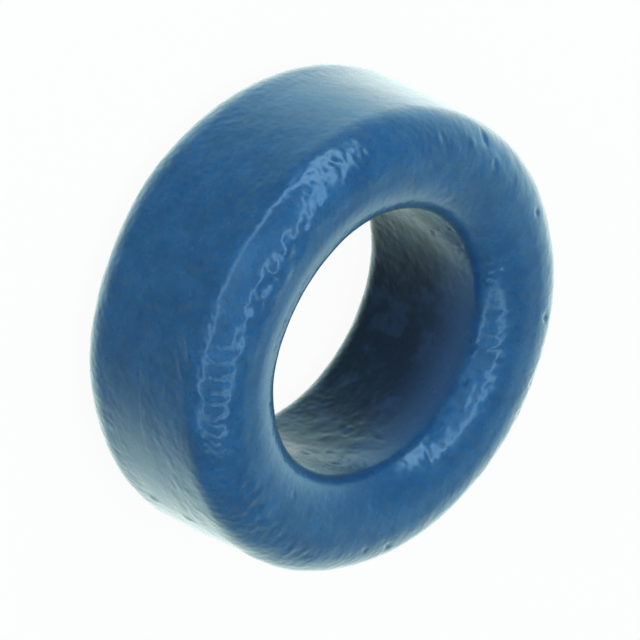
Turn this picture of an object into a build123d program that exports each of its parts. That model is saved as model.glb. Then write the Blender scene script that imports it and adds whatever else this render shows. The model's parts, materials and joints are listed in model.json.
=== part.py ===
from build123d import *

import os

# A ring core of pressed ferrite under a thick glossy coat, made and used as one solid piece.
# Sizes are in millimetres, over the coat. The ring lies flat: +Z is its axis, and the origin is
# at the centre of the face that it lies on.
outer_diameter = 17.6
bore_diameter = 10.1
height = 7.4

# Every edge is a quarter of an ellipse. "Across" is its reach over the face, measured radially,
# and "along" is its reach along the wall. The outer edges are fuller than those of the bore.
outer_edge_across = 1.7
outer_edge_along = 1.6
bore_edge_across = 1.75
bore_edge_along = 1.2

# The most of a face or wall that its two edges may take. What is left between them is flat: a
# narrow land on each face for the ring to rest on, and a straight stretch of each wall.
most_rounded = 0.95


def fitted(first, second, room):
    """Two edges that face each other, cut back together where they would fill the room."""
    share = min(1.0, most_rounded * room / (first + second))
    return first * share, second * share


def edge(x, z, across, along, start):
    """A quarter of an ellipse about (x, z), anticlockwise from the start angle in degrees."""
    return EllipticalCenterArc((x, z), across, along, start_angle=start, arc_size=90)


def section():
    """One side of the ring, cut through its axis, in the XZ plane."""
    outer_radius = outer_diameter / 2
    bore_radius = bore_diameter / 2
    outer_across, bore_across = fitted(outer_edge_across, bore_edge_across, outer_radius - bore_radius)
    outer_along, _ = fitted(outer_edge_along, outer_edge_along, height)
    bore_along, _ = fitted(bore_edge_along, bore_edge_along, height)

    outer_x = outer_radius - outer_across
    bore_x = bore_radius + bore_across

    with BuildSketch(Plane.XZ) as sketch:
        with BuildLine():
            outer_low = edge(outer_x, outer_along, outer_across, outer_along, 270)
            outer_high = edge(outer_x, height - outer_along, outer_across, outer_along, 0)
            bore_high = edge(bore_x, height - bore_along, bore_across, bore_along, 90)
            bore_low = edge(bore_x, bore_along, bore_across, bore_along, 180)
            Line(outer_low @ 1, outer_high @ 0)
            Line(outer_high @ 1, bore_high @ 0)
            Line(bore_high @ 1, bore_low @ 0)
            Line(bore_low @ 1, outer_low @ 0)
        make_face()
    return sketch.sketch


def toroid_core():
    """The section turned once round the axis."""
    return revolve(section(), axis=Axis.Z)


os.makedirs("parts", exist_ok=True)
export_step(toroid_core(), "parts/toroid_core.step")
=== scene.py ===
"""The look of a ferrite ring core: a lumpy, glossy blue coat, in soft light on a white floor."""
import json
import math

import bpy
import numpy as np
from mathutils import Matrix, Vector, noise


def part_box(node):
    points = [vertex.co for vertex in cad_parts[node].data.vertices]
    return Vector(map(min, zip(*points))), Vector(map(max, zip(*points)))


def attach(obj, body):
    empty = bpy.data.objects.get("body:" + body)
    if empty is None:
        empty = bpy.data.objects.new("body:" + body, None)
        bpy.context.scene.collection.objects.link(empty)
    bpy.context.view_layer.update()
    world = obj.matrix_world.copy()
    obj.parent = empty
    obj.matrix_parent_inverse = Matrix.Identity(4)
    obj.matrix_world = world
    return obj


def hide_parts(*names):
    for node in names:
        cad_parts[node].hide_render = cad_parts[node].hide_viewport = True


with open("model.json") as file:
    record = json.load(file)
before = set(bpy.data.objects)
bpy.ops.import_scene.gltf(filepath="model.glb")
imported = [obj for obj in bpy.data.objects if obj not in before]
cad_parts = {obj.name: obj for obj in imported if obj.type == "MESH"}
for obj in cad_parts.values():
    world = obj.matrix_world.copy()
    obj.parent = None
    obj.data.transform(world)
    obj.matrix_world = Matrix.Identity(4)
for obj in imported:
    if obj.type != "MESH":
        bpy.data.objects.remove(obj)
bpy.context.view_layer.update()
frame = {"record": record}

MM = 0.001

# The ring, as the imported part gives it: the bore and the resting face are among its mounts. The
# width of the flat land and the outer edge's reach along the wall are the part's own sizes.
_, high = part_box("toroid_core")
OUTER_RADIUS = high.x
HEIGHT = high.z
MOUNTS = {mount["name"]: mount for mount in frame["record"]["mounts"]}
BORE_RADIUS = MOUNTS["bore"]["dims"]["r_mm"] * MM
BORE_WALL = MOUNTS["bore"]["dims"]["length_mm"] * MM
LAND_RADIUS = MOUNTS["base_face"]["pos_m"][0]
LAND_WIDTH = 0.3 * MM
OUTER_EDGE_ALONG = 1.6 * MM
OUTER_EDGE_ACROSS = OUTER_RADIUS - LAND_RADIUS - LAND_WIDTH / 2
BORE_EDGE_ALONG = (HEIGHT - BORE_WALL) / 2
BORE_EDGE_ACROSS = LAND_RADIUS - LAND_WIDTH / 2 - BORE_RADIUS

# The camera looks at the middle of the ring from TILT degrees off its axis, and is rolled so that
# the axis points down to the right in the picture. The ring's middle is seen a little to the right
# of the picture's and above it.
TILT = 49.42
ROLL = -26.25
CAMERA_DISTANCE = 634.0 * MM
FRAME_WIDTH = 22.86 * MM
CENTRE_RIGHT = 0.096 * MM
CENTRE_UP = 0.075 * MM

# A tall hoop of light hangs round the camera's line of sight: how far off, and how far it reaches
# to the side and up, as seen from the ring in degrees. Its inner and outer edges are given at
# angles round it, anticlockwise from the camera's right, as shares of that reach.
HOOP_DISTANCE = 0.30
HOOP_SIDE = 44.0
HOOP_UP = 59.0
HOOP_EDGES = [
    (0, 0.86, 1.14), (30, 0.86, 1.45), (60, 0.86, 1.85), (90, 0.80, 1.75), (120, 0.84, 1.20),
    (150, 0.91, 1.09), (180, 0.91, 1.09), (200, 0.91, 1.11), (225, 0.91, 1.10), (245, 0.94, 1.06),
    (265, 0.945, 1.055), (285, 0.90, 1.10), (320, 0.89, 1.11), (360, 0.86, 1.14),
]
HOOP_STEPS = 96
HOOP_STRENGTH = 2.3
HOOP_TINT = (0.74, 1.0, 1.10, 1)

# How bright the room is, from the camera's side (1) round to the far side (-1), by the cosine of
# the angle to an axis that leans from the line of sight by these shares of right and up.
ROOM = [
    (-1.0, 1.50), (-0.93, 1.41), (-0.87, 1.21), (-0.78, 1.12), (-0.70, 1.09), (-0.58, 0.96),
    (-0.5, 0.89), (-0.4, 0.69), (-0.28, 0.455), (-0.2, 0.37), (-0.1, 0.32), (0.05, 0.165),
    (0.6, 0.14), (0.9, 0.27), (1.0, 0.3),
]
ROOM_LEAN = (-0.10, -0.12)

# The room's light is warmer low down and cooler high up, as the camera sees it, and turns to
# another tint on the far side: the way that is high, and the cosines between which each sets in.
ROOM_WARM = (0.765, 0.97, 0.84, 1)
ROOM_COOL = (0.66, 1.0, 0.99, 1)
ROOM_HIGH = (0.3, 0.95)
ROOM_COOLING = (-0.6, 0.6)
ROOM_FAR = (0.90, 1.0, 0.95, 1)
ROOM_FAR_FADE = (-0.96, -0.65)

# Soft lamps that the coat doesn't mirror: the direction that each lights from, how far off and how
# wide it is in metres, and its power in watts.
FILLS = {
    "fill_above": ((-0.15, -0.15, 1.0), 0.5, 0.35, 1.1),
    "fill_front": ((0.0, -1.0, 0.3), 0.5, 0.35, 0.9),
}

# The floor: half its side in metres, its grey as the light meets it, its white as the camera sees
# it, and how much of that white is its own and shows no shadow.
FLOOR_REACH = 8.0
FLOOR_GREY = (0.4, 0.4, 0.4, 1)
FLOOR_WHITE = (0.95, 0.95, 0.95, 1)
FLOOR_GLOW = 0.95
# The coat mirrors the room through the floor. Within the ring it is dimmed to this share, a painted
# shadow of the ring, and the edge of that lies between these shares of the bore's radius.
HOLE_SHADE = 0.6
HOLE_EDGE = (0.9, 1.2)

# The mesh of the coat: how many points go round, how far apart they are along the section, and
# which stretch of the section, as shares of its length, is the underside with its wider steps.
AROUND = 556
FINE_STEP = 0.101 * MM
COARSE_STEP = 0.26 * MM
UNDERSIDE = (0.66, 0.81)
# How many points a rounded edge has before the section is divided, and how short a part of the
# section a normal is taken over.
EDGE_POINTS = 90
NORMAL_PARTS = 4000

# The coat is lumpy all over: how high its lumps are, and how many there are to the metre.
SWELL_HEIGHT = 0.050 * MM
SWELL_SCALE = 260.0
LUMPS_HEIGHT = 0.016 * MM
LUMPS_SCALE = 1500.0
LUMPS_SHIFT = Vector((7, 3, 1))

# A spot on the coat is given by its angle round the ring, in degrees, and its place along the
# section, in mm: up the outer wall from its middle, over the face, down through the bore, and back.
# Patches where the coat wrinkled as it set: angle, place, how far the patch reaches each way, the
# slant of its wrinkles from the way up the section, and how wide, long and high they are. A patch's
# number in the list sets its pattern.
WRINKLES = [
    (-50.0, 3.7, 16.0, 1.0, 0.0, 0.50, 0.8, 0.034),
    (-66.0, 3.5, 17.0, 1.1, 0.0, 0.42, 0.55, 0.040),
    (-95.0, 4.15, 36.0, 0.70, 30.0, 0.80, 0.8, 0.160),
    (-95.0, 4.15, 40.0, 0.70, 30.0, 0.35, 0.4, 0.050),
    (-124.0, 3.3, 18.0, 1.0, 20.0, 0.45, 0.5, 0.034),
    (-22.0, 4.1, 32.0, 0.9, 80.0, 0.34, 0.34, 0.043),
    (-5.0, 3.7, 50.0, 1.2, 0.0, 0.45, 0.45, 0.009),
    (176.0, 3.8, 32.0, 1.0, 60.0, 0.40, 0.9, 0.024),
    (60.0, 6.5, 24.0, 0.8, 30.0, 0.50, 0.6, 0.036),
    (102.0, 6.5, 32.0, 0.9, 30.0, 0.42, 0.6, 0.070),
    (-50.0, 0.8, 36.0, 2.4, 20.0, 0.90, 0.5, 0.009),
    (-140.0, 0.5, 26.0, 2.4, -35.0, 0.40, 1.2, 0.006),
    (45.0, 9.6, 44.0, 2.2, 0.0, 0.55, 0.35, 0.026),
    (140.0, 9.6, 44.0, 2.2, 0.0, 0.55, 0.35, 0.012),
    (-24.0, 1.3, 18.0, 1.2, 0.0, 0.55, 0.28, 0.026),
]
# How far apart the patches' patterns are taken, and the share and scale of the finer wrinkles.
PATTERN_STEP = 5.3
FINER_SHARE = 0.4
FINER_SCALE = 2.1

# Patches where the coat is smoother (below 0) or lumpier: angle, place, reach each way, change.
PATCHES = [
    (-96.0, 2.8, 24.0, 0.8, -0.65),
    (-96.0, 3.5, 24.0, 0.5, -0.3),
    (-90.0, 0.8, 40.0, 1.6, -0.3),
    (0.0, 5.2, 1000.0, 1.3, -0.6),
    (0.0, 6.9, 1000.0, 1.2, -0.8),
    (140.0, 9.6, 60.0, 2.4, -0.65),
    (-55.0, 3.3, 55.0, 1.3, 0.2),
    (-120.0, 3.2, 34.0, 1.2, 0.15),
    (-30.0, 0.6, 48.0, 2.6, -0.6),
    (-40.0, 19.4, 60.0, 2.2, -0.85),
    (165.0, 3.6, 45.0, 1.3, -0.45),
    (-152.0, 0.8, 50.0, 3.0, -0.75),
    (-150.0, 19.6, 50.0, 3.0, -0.7),
    (45.0, 9.6, 60.0, 2.4, -0.6),
]

# Single marks in the coat: angle and place of the middle, the slant of the mark's length from the
# way round the ring, half its width and half its length in mm, and its height in mm, below 0 for a
# groove or pit.
MARKS = [
    # The rim at the top right of the picture, seen from the camera.
    (-178.9, 3.36, 109.0, 0.17, 0.52, -0.085),
    (176.0, 4.14, 133.0, 0.16, 0.34, -0.040),
    (-173.5, 3.70, 131.0, 0.17, 0.34, 0.028),
    (-160.5, 3.80, 90.0, 0.15, 0.34, 0.024),
    (-162.0, 3.72, 116.0, 0.16, 0.34, -0.024),
    # Dashes of light on the bore's edge, at the top right.
    (143.2, 6.52, -90.0, 0.15, 0.20, 0.026),
    (146.4, 6.39, -121.0, 0.15, 0.20, 0.026),
    (139.1, 6.60, -82.0, 0.15, 0.20, 0.026),
    (139.2, 6.05, -138.0, 0.15, 0.26, 0.026),
    (135.6, 6.70, -73.0, 0.15, 0.22, 0.026),
    # Scratches on the face, at the top.
    (-168.6, 5.65, 175.0, 0.13, 0.24, -0.018),
    (-158.4, 4.65, 141.0, 0.13, 0.30, -0.018),
    # Pits in the rim, from the right down to the bottom.
    (150.4, 3.98, 165.0, 0.17, 0.26, -0.070),
    (117.5, 4.13, 30.0, 0.19, 0.32, -0.085),
    (98.5, 3.82, 68.0, 0.19, 0.28, -0.055),
    (90.1, 3.74, 72.0, 0.19, 0.28, -0.055),
    (27.2, 4.14, -48.0, 0.16, 0.22, -0.045),
    (36.4, 3.92, -54.0, 0.18, 0.28, -0.065),
    # A pit in the face and waves on the rim, at the bottom.
    (-12.6, 5.57, 0.0, 0.14, 0.20, -0.024),
    (-0.1, 3.93, 92.0, 0.20, 0.45, 0.011),
    (-8.2, 4.13, 90.0, 0.20, 0.36, 0.011),
    (6.0, 3.90, 83.0, 0.22, 0.34, -0.013),
    (14.2, 3.93, 66.0, 0.20, 0.30, 0.010),
    # Folds where the wall meets the rim, at the left.
    (-69.0, 2.11, 28.0, 0.20, 0.80, 0.030),
    (-64.9, 1.82, 29.0, 0.20, 0.80, 0.030),
    # The rungs of the ladder of light on the rim, at the left.
    (-71.4, 3.34, 104.0, 0.24, 0.74, -0.046),
    (-67.5, 3.42, 98.0, 0.24, 0.84, -0.042),
    (-63.6, 3.50, 96.0, 0.24, 0.84, -0.030),
    (-60.0, 3.62, 93.0, 0.23, 0.84, -0.019),
    (-56.5, 3.66, 90.0, 0.24, 0.76, -0.010),
    # A ridge along the rim, at the lower left.
    (-36.0, 2.75, 0.0, 0.60, 5.2, 0.044),
    # Bulges in the line of light on the rim, at the left.
    (-91.6, 3.80, 32.0, 0.35, 0.55, 0.030),
    (-100.8, 4.00, 30.0, 0.35, 0.36, 0.030),
    (-109.1, 3.77, 38.0, 0.35, 0.50, 0.030),
    # Gaps in the patch of light at the top.
    (-123.1, 3.11, 45.0, 0.17, 0.32, -0.034),
    (-127.1, 3.51, 58.0, 0.17, 0.32, -0.034),
    (-126.6, 3.06, 144.0, 0.20, 0.60, -0.034),
    (-127.4, 2.88, 55.0, 0.16, 0.24, -0.030),
    (-130.8, 3.21, 56.0, 0.16, 0.28, -0.030),
    (-119.7, 2.95, 16.0, 0.17, 0.28, -0.034),
    # The inner line of light at the right, and the dents and the long ridge beside it.
    (72.4, 6.66, 7.0, 0.22, 0.44, 0.036),
    (78.5, 6.72, 9.0, 0.22, 0.44, 0.046),
    (85.2, 6.58, 6.0, 0.22, 0.50, 0.068),
    (92.2, 6.65, 6.0, 0.22, 0.50, 0.062),
    (59.9, 6.39, 59.0, 0.18, 0.38, -0.022),
    (65.5, 6.41, -48.0, 0.20, 0.34, -0.022),
    (88.0, 7.30, 0.0, 0.35, 2.2, 0.020),
    # The bore, at the bottom.
    (53.5, 8.45, -86.0, 0.15, 0.34, -0.036),
    (41.5, 10.11, -3.0, 0.18, 0.36, 0.034),
    (28.2, 8.16, -66.0, 0.15, 0.32, -0.042),
    (24.0, 9.47, -90.0, 0.16, 0.30, -0.042),
    (46.0, 8.90, -41.0, 0.45, 0.70, 0.022),
    (32.8, 8.32, -49.0, 0.45, 1.10, 0.022),
    # Nicks beside the light at the right.
    (103.5, 5.90, -66.0, 0.20, 0.36, -0.018),
    (94.4, 5.91, -61.0, 0.20, 0.34, -0.018),
    (86.9, 5.91, -56.0, 0.20, 0.36, -0.018),
    # Pimples on the wall and the rim, at the lower left.
    (-29.5, 1.59, 8.0, 0.16, 0.24, 0.014),
    (-23.2, 1.67, 74.0, 0.16, 0.26, 0.014),
    (-33.4, 4.06, 76.0, 0.16, 0.30, 0.014),
    # The fuller rim and face at the left, and the sharper edge of the bore there.
    (-97.0, 3.2, 0.0, 1.0, 4.8, 0.095),
    (-97.0, 4.2, 0.0, 1.0, 4.8, 0.090),
    (-97.0, 5.2, 0.0, 1.0, 4.8, 0.060),
    (-97.0, 6.2, 0.0, 1.0, 4.8, 0.030),
    (-92.0, 6.2, 0.0, 0.40, 4.8, 0.044),
    # Pits in the bore, at the top and then at the bottom.
    (158.0, 9.80, 0.0, 0.14, 0.16, -0.034),
    (158.0, 9.17, 0.0, 0.14, 0.18, -0.034),
    (151.5, 8.98, 0.0, 0.15, 0.15, -0.038),
    (162.8, 7.57, 0.0, 0.14, 0.18, -0.038),
    (152.8, 7.50, 0.0, 0.14, 0.18, -0.034),
    (170.8, 7.42, 0.0, 0.14, 0.16, -0.034),
    (33.2, 9.10, -45.0, 0.15, 0.20, -0.030),
    (39.0, 8.62, -30.0, 0.15, 0.22, -0.030),
    (48.2, 9.66, 10.0, 0.15, 0.20, -0.030),
    (51.8, 9.78, 20.0, 0.16, 0.18, 0.026),
    # Bumps in the wall's outline, at the lower left.
    (-16.2, 18.41, 90.0, 0.28, 0.45, 0.050),
    (-14.2, 0.40, 90.0, 0.28, 0.45, 0.045),
]

# The coat's colours: its darker and its paler clouds, its specks and the dust on it.
COAT_DEEP = (0.013, 0.093, 0.262, 1)
COAT_BLUE = (0.018, 0.124, 0.335, 1)
SPECK_BLUE = (0.005, 0.050, 0.14, 1)
COAT_DUST = (0.046, 0.130, 0.26, 1)
# Painted shade in the bore: deep in it the coat is painted darker and greyer, in blotches, for the
# shade that falls there. Towards the edge this painted shade is bluer.
BORE_SHADE_DARK = (0.017, 0.033, 0.088, 1)
BORE_SHADE_PALE = (0.036, 0.075, 0.195, 1)
BORE_EDGE_SHADE = (0.050, 0.128, 0.310, 1)
# Where the bore's painted shade ends, outwards from its wall, and where it ends and turns bluer,
# upwards from the top of its straight wall.
BORE_SHADE_END_OUT = (0.15 * MM, 0.4 * MM)
BORE_SHADE_END_UP = (-0.6 * MM, 0.45 * MM)
BORE_SHADE_BLUER_UP = (-2.6 * MM, -0.1 * MM)

# Fine patterns in the coat: how many to the metre, how many finer levels they have, and how strong
# those are.
CLOUDS = (900.0, 3.0, 0.6)
SPECKS = (7000.0, 1.0, 0.5)
DUST = (3200.0, 3.0, 0.65)
BLOTCHES = (1100.0, 2.0, 0.6)
PEEL = (4000.0, 0.0, 0.5)
PIMPLES = (3600.0, 1.0, 0.5)
# The levels of a pattern between which its effect sets in, and how much of a speck's or the dust's
# colour shows.
CLOUD_LEVELS = (0.3, 0.7)
SPECK_LEVELS = (0.62, 0.72)
SPECK_SHARE = 0.5
DUST_LEVELS = (0.45, 0.66)
DUST_SHARE = 0.55
BLOTCH_LEVELS = (0.46, 0.66)
PIMPLE_LEVELS = (0.56, 0.74)
# How rough the coat's blue is under its gloss, from its darker to its paler clouds.
ROUGHNESS = (0.20, 0.30)
# How high the orange peel and the pimples are, how deep the specks are as a share of that, and how
# uneven the coat is where pimples begin and where they are at their highest.
PEEL_HEIGHT = 0.017 * MM
SPECK_DEPTH = 0.06
PIMPLY = (1.0, 1.8)


def view_axes():
    """The camera's right, up and backward directions."""
    tilt = math.radians(TILT)
    roll = math.radians(ROLL)
    back = Vector((0, -math.sin(tilt), math.cos(tilt)))
    axis = Vector((0, 0, 1))
    axis_seen = (axis - axis.dot(back) * back).normalized()
    aside = back.cross(axis_seen)
    right = math.cos(roll) * axis_seen - math.sin(roll) * aside
    return right, back.cross(right), back


def ring_centre():
    return Vector((0, 0, HEIGHT / 2))


def add_object(name, data):
    """A new object in the scene."""
    thing = bpy.data.objects.new(name, data)
    bpy.context.scene.collection.objects.link(thing)
    return thing


def add_camera():
    right, up, back = view_axes()
    aim = ring_centre() - CENTRE_RIGHT * right - CENTRE_UP * up
    data = bpy.data.cameras.new("camera")
    data.sensor_width = 36.0
    data.lens = data.sensor_width * CAMERA_DISTANCE / FRAME_WIDTH
    data.clip_start = 0.01
    data.clip_end = 50.0
    camera = add_object("camera", data)
    turn = Matrix((right, up, back)).transposed().to_4x4()
    camera.matrix_world = Matrix.Translation(aim + CAMERA_DISTANCE * back) @ turn
    bpy.context.scene.camera = camera


def quarter(centre_r, centre_z, across, along, start):
    """Points on a quarter of an ellipse, anticlockwise from start degrees."""
    angles = np.radians(np.linspace(start, start + 90, EDGE_POINTS))
    return np.stack([centre_r + across * np.cos(angles), centre_z + along * np.sin(angles)], 1)


def section():
    """The ring's section, divided: how far along each point is, where, and its outward normal."""
    outer_r = OUTER_RADIUS - OUTER_EDGE_ACROSS
    bore_r = BORE_RADIUS + BORE_EDGE_ACROSS
    start = np.array([[OUTER_RADIUS, HEIGHT / 2]])
    line = np.vstack([
        start,
        quarter(outer_r, HEIGHT - OUTER_EDGE_ALONG, OUTER_EDGE_ACROSS, OUTER_EDGE_ALONG, 0),
        quarter(bore_r, HEIGHT - BORE_EDGE_ALONG, BORE_EDGE_ACROSS, BORE_EDGE_ALONG, 90),
        quarter(bore_r, BORE_EDGE_ALONG, BORE_EDGE_ACROSS, BORE_EDGE_ALONG, 180),
        quarter(outer_r, OUTER_EDGE_ALONG, OUTER_EDGE_ACROSS, OUTER_EDGE_ALONG, 270),
        start,
    ])
    run = np.concatenate([[0], np.cumsum(np.hypot(*np.diff(line, axis=0).T))])
    length = run[-1]
    first, last = (length * share for share in UNDERSIDE)
    places = np.concatenate([
        np.linspace(0, first, round(first / FINE_STEP), endpoint=False),
        np.linspace(first, last, round((last - first) / COARSE_STEP), endpoint=False),
        np.linspace(last, length, round((length - last) / FINE_STEP), endpoint=False),
    ])

    def at(places):
        wrapped = places % length
        return np.stack([np.interp(wrapped, run, side) for side in line.T], 1)

    nudge = length / NORMAL_PARTS
    step = at(places + nudge) - at(places - nudge)
    step /= np.linalg.norm(step, axis=1)[:, None]
    normals = np.stack([step[:, 1], -step[:, 0]], 1)
    return places, at(places), normals


def hill(distance):
    """A smooth bump: 1 at no distance, fading to 0 at 1."""
    inside = max(0.0, 1.0 - distance * distance)
    return inside * inside


def turned(angle, middle):
    """Degrees from middle to angle, the short way round."""
    return (angle - middle + 180.0) % 360.0 - 180.0


def slanted(round_way, up_way, slant):
    """How far along and across a slanted line a point is."""
    c, s = math.cos(math.radians(slant)), math.sin(math.radians(slant))
    return c * round_way + s * up_way, c * up_way - s * round_way


def unevenness(angle, place):
    """How lumpy the coat is at an angle and place: 1 is as it mostly is."""
    share = 1.0
    for middle, along, reach_angle, reach_along, change in PATCHES:
        away = math.hypot(turned(angle, middle) / reach_angle, (place - along) / reach_along)
        share *= 1.0 + change * hill(away)
    return share


def coat_height(point, angle, place):
    """How far the coat stands above its mean surface at an angle and place in degrees and mm."""
    height = noise.noise(point * SWELL_SCALE) * SWELL_HEIGHT
    lump = noise.noise(point * LUMPS_SCALE + LUMPS_SHIFT)
    height += lump * LUMPS_HEIGHT * unevenness(angle, place)
    radius = math.hypot(point.x, point.y) / MM
    for number, patch in enumerate(WRINKLES):
        middle, along, reach_angle, reach_along, slant, width, length, size = patch
        aside = turned(angle, middle)
        fade = hill(math.hypot(aside / reach_angle, (place - along) / reach_along))
        if fade:
            down, across = slanted(math.radians(aside) * radius, place - along, slant)
            spot = Vector((down / width, across / length, PATTERN_STEP * number))
            wrinkle = noise.noise(spot) + FINER_SHARE * noise.noise(spot * FINER_SCALE)
            height += size * MM * fade * wrinkle
    for middle, along, slant, half_width, half_length, size in MARKS:
        aside = math.radians(turned(angle, middle)) * radius
        if abs(aside) < half_length:
            down, across = slanted(aside, place - along, slant)
            height += size * MM * hill(math.hypot(down / half_length, across / half_width))
    return height


def coated_ring(material):
    """The ring's section swept round its axis, with the relief of its coat."""
    places, points, normals = section()
    along = len(places)
    verts, shares = [], []
    for angle in np.linspace(-math.pi, math.pi, AROUND, endpoint=False):
        c, s = math.cos(angle), math.sin(angle)
        degrees = math.degrees(angle)
        for place, (r, z), (nr, nz) in zip(places, points, normals):
            point = Vector((r * c, r * s, z))
            normal = Vector((nr * c, nr * s, nz))
            point += normal * coat_height(point, degrees, place / MM)
            point.z = max(point.z, 0.0)
            verts.append(point)
            shares.append(unevenness(degrees, place / MM))
    faces = []
    for i in range(AROUND):
        here = i * along
        there = (i + 1) % AROUND * along
        for j in range(along):
            j2 = (j + 1) % along
            faces.append((here + j, there + j, there + j2, here + j2))
    mesh = bpy.data.meshes.new("coated_ring")
    mesh.from_pydata(verts, [], faces)
    mesh.polygons.foreach_set("use_smooth", [True] * len(faces))
    mesh.attributes.new("unevenness", "FLOAT", "POINT").data.foreach_set("value", shares)
    mesh.materials.append(material)
    mesh.update()
    ring = add_object("coated_ring", mesh)
    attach(ring, "root")
    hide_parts("toroid_core")


def feed(tree, socket, value):
    """Give a socket what another socket puts out, or a plain number or colour."""
    if isinstance(value, bpy.types.NodeSocket):
        tree.links.new(value, socket)
    else:
        socket.default_value = value


def math_node(tree, operation, *values):
    """A maths node on sockets and plain numbers."""
    node = tree.nodes.new("ShaderNodeMath")
    node.operation = operation
    for socket, value in zip(node.inputs, values):
        feed(tree, socket, value)
    return node.outputs[0]


def noise_node(tree, place, scale, detail, roughness):
    """A pattern of noise from 0 to 1, mostly near 0.5."""
    node = tree.nodes.new("ShaderNodeTexNoise")
    node.inputs["Scale"].default_value = scale
    node.inputs["Detail"].default_value = detail
    node.inputs["Roughness"].default_value = roughness
    tree.links.new(place, node.inputs["Vector"])
    return node.outputs["Fac"]


def spread(tree, value, low_in, high_in, low_out=0.0, high_out=1.0):
    """A value's range from low_in to high_in, stretched to another range."""
    node = tree.nodes.new("ShaderNodeMapRange")
    node.interpolation_type = "SMOOTHSTEP"
    node.inputs["From Min"].default_value = low_in
    node.inputs["From Max"].default_value = high_in
    node.inputs["To Min"].default_value = low_out
    node.inputs["To Max"].default_value = high_out
    tree.links.new(value, node.inputs["Value"])
    return node.outputs[0]


def mixed(tree, share, first, second):
    """A colour that goes from the first to the second as the share rises."""
    node = tree.nodes.new("ShaderNodeMix")
    node.data_type = "RGBA"
    tree.links.new(share, node.inputs["Factor"])
    for name, colour in (("A", first), ("B", second)):
        feed(tree, next(s for s in node.inputs if s.name == name and s.type == "RGBA"), colour)
    return next(s for s in node.outputs if s.type == "RGBA")


def mixed_shaders(tree, share, first, second):
    """A shader that goes from the first to the second as the share rises."""
    node = tree.nodes.new("ShaderNodeMixShader")
    feed(tree, node.inputs["Fac"], share)
    tree.links.new(first, node.inputs[1])
    tree.links.new(second, node.inputs[2])
    return node.outputs[0]


def bore_painted_shade(tree, place):
    """The painted shade of the coat in the bore: its colour, and how much of it shows at each
    place.
    """
    where = tree.nodes.new("ShaderNodeSeparateXYZ")
    tree.links.new(place, where.inputs[0])
    x, y, z = where.outputs
    squares = [math_node(tree, "POWER", side, 2.0) for side in (x, y)]
    radius = math_node(tree, "SQRT", math_node(tree, "ADD", *squares))
    wall_top = (HEIGHT + BORE_WALL) / 2
    inside = spread(tree, radius, *(BORE_RADIUS + out for out in BORE_SHADE_END_OUT), 1.0, 0.0)
    deep = spread(tree, z, *(wall_top + up for up in BORE_SHADE_END_UP), 1.0, 0.0)
    share = math_node(tree, "MULTIPLY", inside, deep)

    # Painted shade: darker and paler blotches deep in the bore, bluer towards its edge.
    blotches = spread(tree, noise_node(tree, place, *BLOTCHES), *BLOTCH_LEVELS)
    colour = mixed(tree, blotches, BORE_SHADE_DARK, BORE_SHADE_PALE)
    near_edge = spread(tree, z, *(wall_top + up for up in BORE_SHADE_BLUER_UP))
    return mixed(tree, near_edge, colour, BORE_EDGE_SHADE), share


def coat_material():
    material = bpy.data.materials.new("blue_coat")
    material.use_nodes = True
    tree = material.node_tree
    shader = tree.nodes["Principled BSDF"]
    shader.inputs["IOR"].default_value = 1.8
    shader.inputs["Specular Tint"].default_value = (0.3, 0.7, 1.0, 1)
    shader.inputs["Coat Weight"].default_value = 1.0
    shader.inputs["Coat Roughness"].default_value = 0.215
    shader.inputs["Coat IOR"].default_value = 1.55
    shader.inputs["Sheen Weight"].default_value = 0.3
    shader.inputs["Sheen Roughness"].default_value = 0.35
    shader.inputs["Sheen Tint"].default_value = (0.6, 1.0, 0.95, 1)

    place = tree.nodes.new("ShaderNodeTexCoord").outputs["Object"]
    clouds = noise_node(tree, place, *CLOUDS)
    specks = spread(tree, noise_node(tree, place, *SPECKS), *SPECK_LEVELS)
    dust = spread(tree, noise_node(tree, place, *DUST), *DUST_LEVELS, 0.0, DUST_SHARE)

    # Darker and paler clouds, dark specks, pale dust, and the painted shade in the bore.
    colour = mixed(tree, spread(tree, clouds, *CLOUD_LEVELS), COAT_DEEP, COAT_BLUE)
    colour = mixed(tree, math_node(tree, "MULTIPLY", specks, SPECK_SHARE), colour, SPECK_BLUE)
    colour = mixed(tree, dust, colour, COAT_DUST)
    bore, bore_shade_share = bore_painted_shade(tree, place)
    tree.links.new(mixed(tree, bore_shade_share, colour, bore), shader.inputs["Base Color"])
    tree.links.new(spread(tree, clouds, *CLOUD_LEVELS, *ROUGHNESS), shader.inputs["Roughness"])

    # Orange peel, sunk specks, and pimples where the coat is at its most uneven.
    uneven = tree.nodes.new("ShaderNodeAttribute")
    uneven.attribute_name = "unevenness"
    uneven = uneven.outputs["Fac"]
    peel = math_node(tree, "MULTIPLY", noise_node(tree, place, *PEEL), uneven)
    sunk = math_node(tree, "MULTIPLY", specks, -SPECK_DEPTH)
    pimples = spread(tree, noise_node(tree, place, *PIMPLES), *PIMPLE_LEVELS)
    pimples = math_node(tree, "MULTIPLY", pimples, spread(tree, uneven, *PIMPLY))
    height = math_node(tree, "ADD", math_node(tree, "ADD", peel, sunk), pimples)
    bump = tree.nodes.new("ShaderNodeBump")
    bump.inputs["Strength"].default_value = 1.0
    bump.inputs["Distance"].default_value = PEEL_HEIGHT
    tree.links.new(height, bump.inputs["Height"])
    tree.links.new(bump.outputs["Normal"], shader.inputs["Normal"])
    tree.links.new(bump.outputs["Normal"], shader.inputs["Coat Normal"])
    return material


def new_material(name):
    """An empty material, with its node tree and its output."""
    material = bpy.data.materials.new(name)
    material.use_nodes = True
    tree = material.node_tree
    tree.nodes.clear()
    return material, tree, tree.nodes.new("ShaderNodeOutputMaterial").inputs["Surface"]


def diffuse(tree, colour):
    node = tree.nodes.new("ShaderNodeBsdfDiffuse")
    node.inputs["Color"].default_value = colour
    return node.outputs[0]


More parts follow.
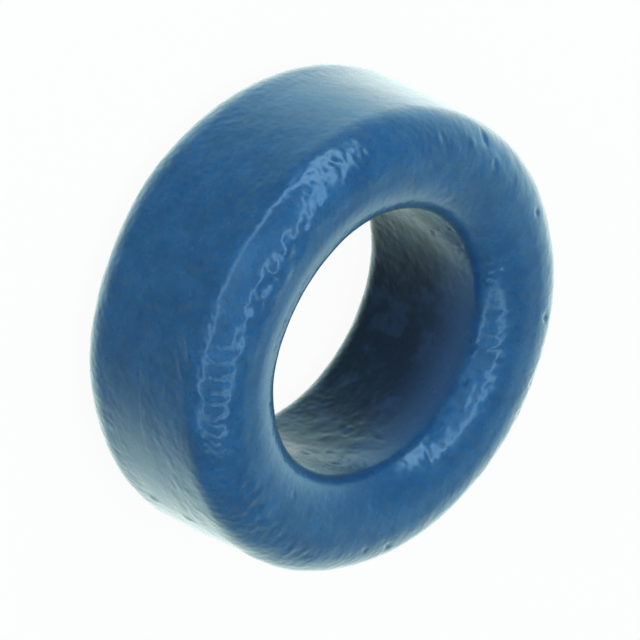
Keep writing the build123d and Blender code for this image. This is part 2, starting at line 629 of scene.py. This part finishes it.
def add_floor():
    """The floor is white to the camera, grey to the light, and clear to the coat's gloss, with a
    painted shadow of the ring within it.
    """
    material, tree, surface = new_material("floor")
    path = tree.nodes.new("ShaderNodeLightPath")
    glow = tree.nodes.new("ShaderNodeEmission")
    glow.inputs["Strength"].default_value = 1.0
    white = mixed_shaders(tree, FLOOR_GLOW, diffuse(tree, FLOOR_WHITE), glow.outputs[0])
    paper = diffuse(tree, FLOOR_GREY)
    seen = mixed_shaders(tree, path.outputs["Is Camera Ray"], paper, white)

    place = tree.nodes.new("ShaderNodeTexCoord")
    away = tree.nodes.new("ShaderNodeVectorMath")
    away.operation = "LENGTH"
    tree.links.new(place.outputs["Object"], away.inputs[0])
    edge = (BORE_RADIUS * share for share in HOLE_EDGE)
    # A painted shadow: the floor, as the coat mirrors it, is dimmed within the ring.
    shade = spread(tree, away.outputs["Value"], *edge, HOLE_SHADE, 1.0)
    clear = tree.nodes.new("ShaderNodeBsdfTransparent")
    tree.links.new(shade, clear.inputs["Color"])
    mirrored = mixed_shaders(tree, path.outputs["Is Glossy Ray"], seen, clear.outputs[0])
    tree.links.new(mirrored, surface)

    mesh = bpy.data.meshes.new("floor")
    reach = FLOOR_REACH
    corners = [(-reach, -reach, 0), (reach, -reach, 0), (reach, reach, 0), (-reach, reach, 0)]
    mesh.from_pydata(corners, [], [(0, 1, 2, 3)])
    mesh.materials.append(material)
    floor = add_object("floor", mesh)


def cosine_to(tree, place, direction):
    """The cosine of the angle between each direction of the sky and a fixed one."""
    node = tree.nodes.new("ShaderNodeVectorMath")
    node.operation = "DOT_PRODUCT"
    node.inputs[1].default_value = direction.normalized()
    tree.links.new(place, node.inputs[0])
    return node.outputs["Value"]


def room_light(tree, place):
    """The room's colour and brightness in each direction."""
    right, up, back = view_axes()
    side = cosine_to(tree, place, ROOM_LEAN[0] * right + ROOM_LEAN[1] * up + back)
    high = cosine_to(tree, place, ROOM_HIGH[0] * right + ROOM_HIGH[1] * up)

    turn = tree.nodes.new("ShaderNodeMapRange")
    turn.inputs["From Min"].default_value = -1.0
    tree.links.new(side, turn.inputs["Value"])
    ramp = tree.nodes.new("ShaderNodeValToRGB")
    ramp.color_ramp.interpolation = "EASE"
    stops = ramp.color_ramp.elements
    while len(stops) < len(ROOM):
        stops.new(1.0)
    for stop, (cosine, level) in zip(stops, ROOM):
        stop.position = (cosine + 1) / 2
        stop.color = (level, level, level, 1)
    tree.links.new(turn.outputs[0], ramp.inputs["Fac"])

    tint = mixed(tree, spread(tree, high, *ROOM_COOLING), ROOM_WARM, ROOM_COOL)
    tint = mixed(tree, spread(tree, side, *ROOM_FAR_FADE, 1.0, 0.0), tint, ROOM_FAR)
    tinted = tree.nodes.new("ShaderNodeVectorMath")
    tinted.operation = "MULTIPLY"
    tree.links.new(ramp.outputs["Color"], tinted.inputs[0])
    tree.links.new(tint, tinted.inputs[1])
    return tinted.outputs["Vector"]


def add_sky():
    """The sky is white to the camera, and a room with a bright far side to the ring."""
    world = bpy.data.worlds.new("sky")
    bpy.context.scene.world = world
    world.use_nodes = True
    tree = world.node_tree
    tree.nodes.clear()
    out = tree.nodes.new("ShaderNodeOutputWorld")
    white = tree.nodes.new("ShaderNodeBackground")
    white.inputs["Strength"].default_value = 1.0
    soft = tree.nodes.new("ShaderNodeBackground")
    place = tree.nodes.new("ShaderNodeTexCoord").outputs["Generated"]
    tree.links.new(room_light(tree, place), soft.inputs["Color"])
    path = tree.nodes.new("ShaderNodeLightPath")
    sky = mixed_shaders(tree, path.outputs["Is Camera Ray"], soft.outputs[0], white.outputs[0])
    tree.links.new(sky, out.inputs["Surface"])


def add_ring_light():
    """The hoop: a flat glowing band round the camera's line of sight."""
    right, up, back = view_axes()
    side = HOOP_DISTANCE * math.tan(math.radians(HOOP_SIDE))
    height = HOOP_DISTANCE * math.tan(math.radians(HOOP_UP))
    centre = ring_centre() + HOOP_DISTANCE * back
    round_way, inner, outer = zip(*HOOP_EDGES)
    verts, faces = [], []
    for i in range(HOOP_STEPS):
        angle = 2 * math.pi * i / HOOP_STEPS
        direction = side * math.cos(angle) * right + height * math.sin(angle) * up
        for edge in (inner, outer):
            share = float(np.interp(math.degrees(angle), round_way, edge))
            verts.append(centre + share * direction)
        a, b = 2 * i, 2 * ((i + 1) % HOOP_STEPS)
        faces.append((a, b, b + 1, a + 1))
    mesh = bpy.data.meshes.new("ring_light")
    mesh.from_pydata(verts, [], faces)
    material, tree, surface = new_material("ring_light")
    glow = tree.nodes.new("ShaderNodeEmission")
    glow.inputs["Color"].default_value = HOOP_TINT
    glow.inputs["Strength"].default_value = HOOP_STRENGTH
    tree.links.new(glow.outputs[0], surface)
    mesh.materials.append(material)
    light = add_object("ring_light", mesh)
    light.visible_camera = False


def add_fills():
    for name, (direction, distance, width, power) in FILLS.items():
        lamp = bpy.data.lights.new(name, "AREA")
        lamp.shape = "DISK"
        lamp.size = width
        lamp.energy = power
        light = add_object(name, lamp)
        towards = Vector(direction).normalized()
        light.location = ring_centre() + distance * towards
        light.rotation_euler = towards.to_track_quat("Z", "Y").to_euler()
        light.visible_camera = False
        light.visible_glossy = False


add_camera()
coated_ring(coat_material())
add_floor()
add_sky()
add_ring_light()
add_fills()

bpy.context.scene.view_settings.view_transform = "Standard"
